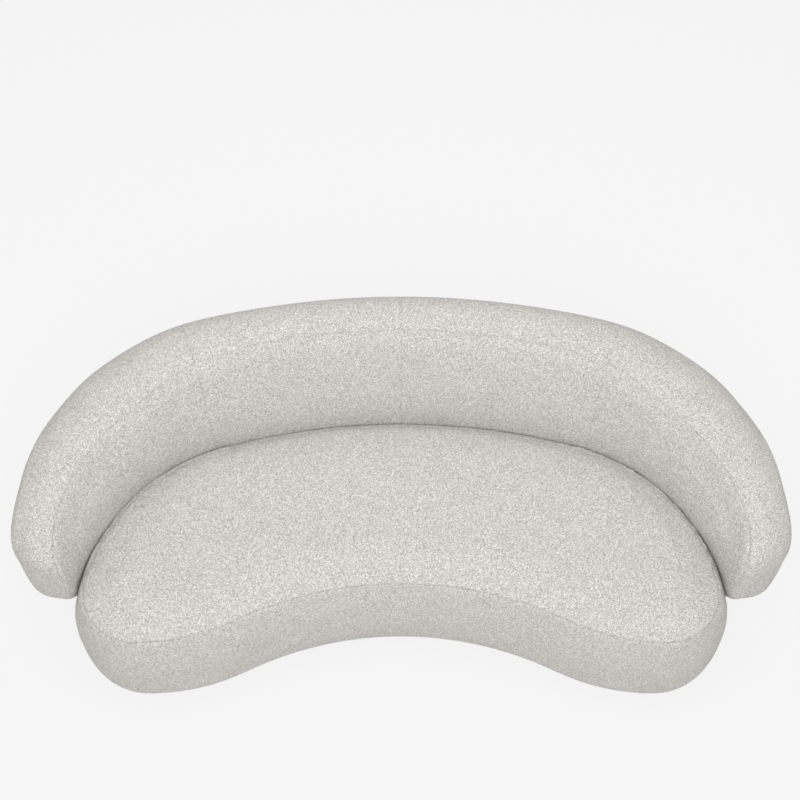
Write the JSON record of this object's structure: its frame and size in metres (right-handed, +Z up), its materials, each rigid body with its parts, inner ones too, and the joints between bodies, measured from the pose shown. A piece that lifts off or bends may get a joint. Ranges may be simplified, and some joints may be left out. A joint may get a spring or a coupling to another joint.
{
  "type": "curved sofa",
  "caption": "Curved boucle lounge sofa: a kidney-shaped upholstered seat inside a rolled wrap-around back, on hidden levelling feet.",
  "frame": {"origin": "on the floor under the centre of the outer box", "axes": "+X along the sofa to a viewer's right, +Y towards its back, +Z up"},
  "size_m": [2.3506, 1.1576, 0.715],
  "materials": {
    "boucle": "off-white and light grey looped boucle",
    "wadding": "white polyester fibre",
    "foam": null,
    "webbing": "black elastic webbing with a woven rib",
    "dust_cloth": "black non-woven dust cloth",
    "plywood": "raw birch plywood",
    "hardboard": "brown hardboard",
    "zinc_steel": "zinc-plated steel",
    "glide": "black moulded plastic"
  },
  "bodies": {
    "sofa": {"back_bottom_rail": "plywood", "back_cover_inner_end_left": "boucle", "back_cover_inner_end_right": "boucle", "back_cover_inner_middle_left": "boucle", "back_cover_inner_middle_right": "boucle", "back_cover_outer_end_left": "boucle", "back_cover_outer_end_right": "boucle", "back_cover_outer_middle_left": "boucle", "back_cover_outer_middle_right": "boucle", "back_dust_cover": "dust_cloth", "back_foam_inner": "foam", "back_foam_nose_left": "foam", "back_foam_nose_right": "foam", "back_foam_outer": "foam", "back_lower_ribs": "plywood", "back_rear_board": "hardboard", "back_seat_rail": "plywood", "back_top_rail": "plywood", "back_upper_ribs": "plywood", "back_wadding_inner": "wadding", "back_wadding_outer": "wadding", "back_webbing": "webbing", "foot_tee_nuts": "zinc_steel", "joining_plates": "zinc_steel", "joining_screws": "zinc_steel", "joining_tee_nuts": "zinc_steel", "seat_bottom_panel": "plywood", "seat_cover_band": "boucle", "seat_cover_top": "boucle", "seat_deck_ring": "plywood", "seat_dust_cover": "dust_cloth", "seat_foam_border": "foam", "seat_foam_core": "foam", "seat_foam_topper": "foam", "seat_rib_left_inner": "plywood", "seat_rib_left_outer": "plywood", "seat_rib_right_inner": "plywood", "seat_rib_right_outer": "plywood", "seat_skirt_front": "plywood", "seat_skirt_left": "plywood", "seat_skirt_rear": "plywood", "seat_skirt_right": "plywood", "seat_wadding": "wadding", "seat_webbing_long": "webbing", "seat_webbing_short": "webbing"},
    "foot_front_left": {"foot_pad_front_left": "glide", "foot_stud_front_left": "zinc_steel"},
    "foot_front_right": {"foot_pad_front_right": "glide", "foot_stud_front_right": "zinc_steel"},
    "foot_front_centre": {"foot_pad_front_centre": "glide", "foot_stud_front_centre": "zinc_steel"},
    "foot_rear_left": {"foot_pad_rear_left": "glide", "foot_stud_rear_left": "zinc_steel"},
    "foot_rear_right": {"foot_pad_rear_right": "glide", "foot_stud_rear_right": "zinc_steel"},
    "foot_rear_centre": {"foot_pad_rear_centre": "glide", "foot_stud_rear_centre": "zinc_steel"}
  },
  "joints": [
    {"name": "foot_front_left_screw", "type": "slide", "parent": "sofa", "child": "foot_front_left", "axis": [0, 0, -1], "range_m": [0, 0.012]},
    {"name": "foot_front_right_screw", "type": "slide", "parent": "sofa", "child": "foot_front_right", "axis": [0, 0, -1], "range_m": [0, 0.012]},
    {"name": "foot_front_centre_screw", "type": "slide", "parent": "sofa", "child": "foot_front_centre", "axis": [0, 0, -1], "range_m": [0, 0.012]},
    {"name": "foot_rear_left_screw", "type": "slide", "parent": "sofa", "child": "foot_rear_left", "axis": [0, 0, -1], "range_m": [0, 0.012]},
    {"name": "foot_rear_right_screw", "type": "slide", "parent": "sofa", "child": "foot_rear_right", "axis": [0, 0, -1], "range_m": [0, 0.012]},
    {"name": "foot_rear_centre_screw", "type": "slide", "parent": "sofa", "child": "foot_rear_centre", "axis": [0, 0, -1], "range_m": [0, 0.012]}
  ]
}
